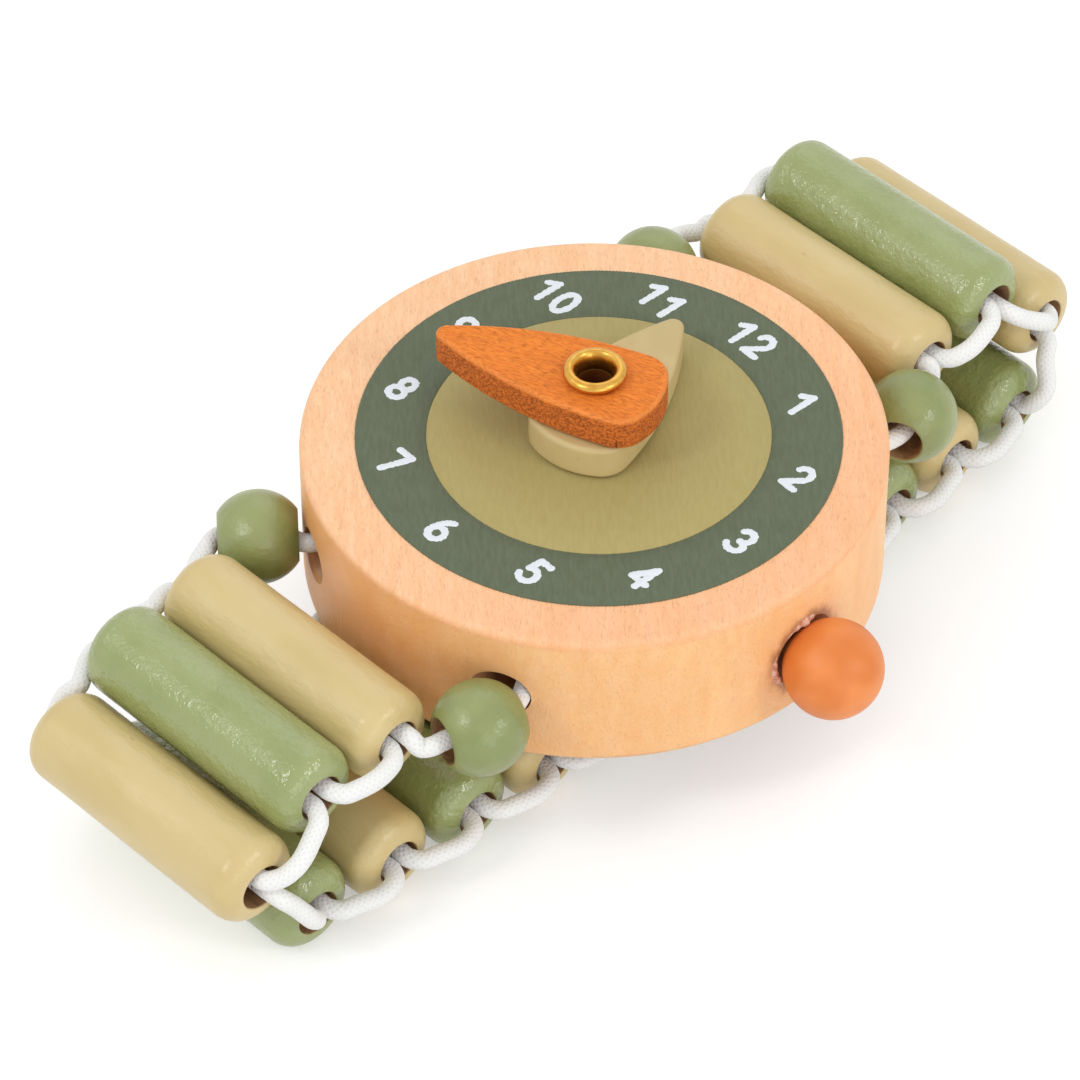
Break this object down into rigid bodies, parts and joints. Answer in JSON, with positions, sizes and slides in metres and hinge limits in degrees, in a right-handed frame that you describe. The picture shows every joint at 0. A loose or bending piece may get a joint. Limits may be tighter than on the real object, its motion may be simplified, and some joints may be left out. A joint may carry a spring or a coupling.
{
  "type": "toy watch",
  "caption": "Wooden toy wristwatch with a round case, turning hands, ball crown and an elastic strap of painted wooden beads.",
  "frame": {"origin": "middle of the case back, where the case lies on the wrist", "axes": "+Z out of the dial, +Y along the strap to 12 o'clock, +X to the crown at 3 o'clock"},
  "size_m": [0.0482, 0.0872, 0.0252],
  "materials": {
    "case_wood": "fine-grained pale wood, clear satin",
    "dial_green": "matte printed ink",
    "dial_khaki": "matte printed ink",
    "khaki_paint": "wood with satin khaki paint",
    "green_paint": "wood with satin green paint",
    "orange_stain": "wood with orange stain, open grain",
    "orange_paint": "wood with satin orange paint",
    "peg_wood": "bare wood dowel",
    "eyelet_brass": "polished",
    "elastic_cord": "round braided elastic, matte"
  },
  "bodies": {
    "case": {"case": "case_wood", "dial_ring": "dial_green", "dial_centre": "dial_khaki", "hand_eyelet": "eyelet_brass", "back_washer": "eyelet_brass", "crown_ball": "orange_paint", "crown_peg": "peg_wood", "case_cord_left": "elastic_cord", "case_cord_right": "elastic_cord", "cord_knots": "elastic_cord"},
    "hour_hand": {"hour_hand": "khaki_paint"},
    "minute_hand": {"minute_hand": "orange_stain"},
    "round_bead_6_left": {"round_bead_6_left": "green_paint"},
    "round_bead_6_right": {"round_bead_6_right": "green_paint"},
    "round_bead_12_left": {"round_bead_12_left": "green_paint"},
    "round_bead_12_right": {"round_bead_12_right": "green_paint"},
    "strap_bead_6_1": {"strap_bead_6_1": "khaki_paint"},
    "strap_link_6_2": {"strap_bead_6_2": "green_paint", "strap_cord_6_2": "elastic_cord"},
    "strap_link_6_3": {"strap_bead_6_3": "khaki_paint", "strap_cord_6_3": "elastic_cord"},
    "strap_link_6_4": {"strap_bead_6_4": "green_paint", "strap_cord_6_4": "elastic_cord"},
    "strap_link_6_5": {"strap_bead_6_5": "khaki_paint", "strap_cord_6_5": "elastic_cord"},
    "strap_link_6_6": {"strap_bead_6_6": "green_paint", "strap_cord_6_6": "elastic_cord"},
    "strap_link_6_7": {"strap_bead_6_7": "khaki_paint", "strap_cord_6_7": "elastic_cord"},
    "strap_link_6_8": {"strap_bead_6_8": "green_paint", "strap_cord_6_8": "elastic_cord"},
    "strap_link_6_9": {"strap_bead_6_9": "khaki_paint", "strap_cord_6_9": "elastic_cord"},
    "strap_bead_12_1": {"strap_bead_12_1": "khaki_paint"},
    "strap_link_12_2": {"strap_bead_12_2": "green_paint", "strap_cord_12_2": "elastic_cord"},
    "strap_link_12_3": {"strap_bead_12_3": "khaki_paint", "strap_cord_12_3": "elastic_cord"},
    "strap_link_12_4": {"strap_bead_12_4": "green_paint", "strap_cord_12_4": "elastic_cord"},
    "strap_link_12_5": {"strap_bead_12_5": "khaki_paint", "strap_cord_12_5": "elastic_cord"},
    "strap_link_12_6": {"strap_bead_12_6": "green_paint", "strap_cord_12_6": "elastic_cord"},
    "strap_link_12_7": {"strap_bead_12_7": "khaki_paint", "strap_cord_12_7": "elastic_cord"},
    "strap_link_12_8": {"strap_bead_12_8": "green_paint", "strap_cord_12_8": "elastic_cord"},
    "strap_join": {"strap_cord_join": "elastic_cord"}
  },
  "joints": [
    {"name": "hour_hand_turn", "type": "hinge", "parent": "case", "child": "hour_hand", "pos_m": [0, 0, 0.0116], "axis": [0, 0, 1], "continuous": true},
    {"name": "minute_hand_turn", "type": "hinge", "parent": "case", "child": "minute_hand", "pos_m": [0, 0, 0.0116], "axis": [0, 0, 1], "continuous": true},
    {"name": "round_bead_6_left_spin", "type": "hinge", "parent": "case", "child": "round_bead_6_left", "pos_m": [-0.01365, -0.02016, 0.00575], "axis": [-0.6561, -0.7547, 0], "continuous": true},
    {"name": "round_bead_6_right_spin", "type": "hinge", "parent": "case", "child": "round_bead_6_right", "pos_m": [0.01095, -0.02197, 0.00575], "axis": [-0.2924, -0.9563, 0], "continuous": true},
    {"name": "round_bead_12_left_spin", "type": "hinge", "parent": "case", "child": "round_bead_12_left", "pos_m": [-0.01385, 0.02003, 0.00575], "axis": [-0.682, 0.7314, 0], "continuous": true},
    {"name": "round_bead_12_right_spin", "type": "hinge", "parent": "case", "child": "round_bead_12_right", "pos_m": [0.0104, 0.02224, 0.00575], "axis": [-0.4226, 0.9063, 0], "continuous": true},
    {"name": "strap_bead_6_1_spin", "type": "hinge", "parent": "case", "child": "strap_bead_6_1", "pos_m": [-0.00233, -0.0272, 0.006], "axis": [1, 0, 0], "continuous": true},
    {"name": "strap_opening", "type": "hinge", "parent": "case", "child": "strap_link_6_2", "pos_m": [0, -0.0272, 0.006], "axis": [1, 0, 0], "range_deg": [0, 71]},
    {"name": "strap_link_6_3_fold", "type": "hinge", "parent": "strap_link_6_2", "child": "strap_link_6_3", "pos_m": [0, -0.0344, 0.00587], "axis": [-1, 0, 0], "range_deg": [0, 23.89]},
    {"name": "strap_link_6_4_fold", "type": "hinge", "parent": "strap_link_6_3", "child": "strap_link_6_4", "pos_m": [0, -0.04044, 0.00196], "axis": [-1, 0, 0], "range_deg": [0, 78.23]},
    {"name": "strap_link_6_5_fold", "type": "hinge", "parent": "strap_link_6_4", "child": "strap_link_6_5", "pos_m": [0, -0.036, -0.0037], "axis": [-1, 0, 0], "range_deg": [0, 29.88]},
    {"name": "strap_link_6_6_fold", "type": "hinge", "parent": "strap_link_6_5", "child": "strap_link_6_6", "pos_m": [0, -0.0288, -0.0037], "axis": [1, 0, 0], "range_deg": [0, 21]},
    {"name": "strap_link_6_7_fold", "type": "hinge", "parent": "strap_link_6_6", "child": "strap_link_6_7", "pos_m": [0, -0.0216, -0.0037], "axis": [1, 0, 0], "range_deg": [0, 16]},
    {"name": "strap_link_6_8_fold", "type": "hinge", "parent": "strap_link_6_7", "child": "strap_link_6_8", "pos_m": [0, -0.0144, -0.0037], "axis": [1, 0, 0], "range_deg": [0, 11]},
    {"name": "strap_link_6_9_fold", "type": "hinge", "parent": "strap_link_6_8", "child": "strap_link_6_9", "pos_m": [0, -0.0072, -0.0037], "axis": [1, 0, 0], "range_deg": [0, 10]},
    {"name": "strap_bead_12_1_spin", "type": "hinge", "parent": "case", "child": "strap_bead_12_1", "pos_m": [-0.00297, 0.0272, 0.006], "axis": [1, 0, 0], "continuous": true},
    {"name": "strap_link_12_2_fold", "type": "hinge", "parent": "case", "child": "strap_link_12_2", "pos_m": [0, 0.0272, 0.006], "axis": [-1, 0, 0], "range_deg": [0, 80]},
    {"name": "strap_link_12_3_fold", "type": "hinge", "parent": "strap_link_12_2", "child": "strap_link_12_3", "pos_m": [0, 0.03433, 0.007], "axis": [1, 0, 0], "range_deg": [0, 39.91]},
    {"name": "strap_link_12_4_fold", "type": "hinge", "parent": "strap_link_12_3", "child": "strap_link_12_4", "pos_m": [0, 0.03985, 0.00238], "axis": [1, 0, 0], "range_deg": [0, 65.44]},
    {"name": "strap_link_12_5_fold", "type": "hinge", "parent": "strap_link_12_4", "child": "strap_link_12_5", "pos_m": [0, 0.036, -0.0037], "axis": [1, 0, 0], "range_deg": [0, 35.65]},
    {"name": "strap_link_12_6_fold", "type": "hinge", "parent": "strap_link_12_5", "child": "strap_link_12_6", "pos_m": [0, 0.0288, -0.0037], "axis": [-1, 0, 0], "range_deg": [0, 21]},
    {"name": "strap_link_12_7_fold", "type": "hinge", "parent": "strap_link_12_6", "child": "strap_link_12_7", "pos_m": [0, 0.0216, -0.0037], "axis": [-1, 0, 0], "range_deg": [0, 16]},
    {"name": "strap_link_12_8_fold", "type": "hinge", "parent": "strap_link_12_7", "child": "strap_link_12_8", "pos_m": [0, 0.0144, -0.0037], "axis": [-1, 0, 0], "range_deg": [0, 11]},
    {"name": "strap_join_fold", "type": "hinge", "parent": "strap_link_6_9", "child": "strap_join", "pos_m": [0, 0, -0.0037], "axis": [1, 0, 0], "range_deg": [0, 6]}
  ],
  "couplings": [
    {"joint": "strap_link_6_3_fold", "follows": "strap_opening", "ratio": 0.33651},
    {"joint": "strap_link_6_4_fold", "follows": "strap_opening", "ratio": 1.1018},
    {"joint": "strap_link_6_5_fold", "follows": "strap_opening", "ratio": 0.42084},
    {"joint": "strap_link_6_6_fold", "follows": "strap_opening", "ratio": 0.29578},
    {"joint": "strap_link_6_7_fold", "follows": "strap_opening", "ratio": 0.22535},
    {"joint": "strap_link_6_8_fold", "follows": "strap_opening", "ratio": 0.15493},
    {"joint": "strap_link_6_9_fold", "follows": "strap_opening", "ratio": 0.14084},
    {"joint": "strap_link_12_2_fold", "follows": "strap_opening", "ratio": 1.1268},
    {"joint": "strap_link_12_3_fold", "follows": "strap_opening", "ratio": 0.56213},
    {"joint": "strap_link_12_4_fold", "follows": "strap_opening", "ratio": 0.92167},
    {"joint": "strap_link_12_5_fold", "follows": "strap_opening", "ratio": 0.50211},
    {"joint": "strap_link_12_6_fold", "follows": "strap_opening", "ratio": 0.29578},
    {"joint": "strap_link_12_7_fold", "follows": "strap_opening", "ratio": 0.22535},
    {"joint": "strap_link_12_8_fold", "follows": "strap_opening", "ratio": 0.15493},
    {"joint": "strap_join_fold", "follows": "strap_opening", "ratio": 0.084507}
  ]
}
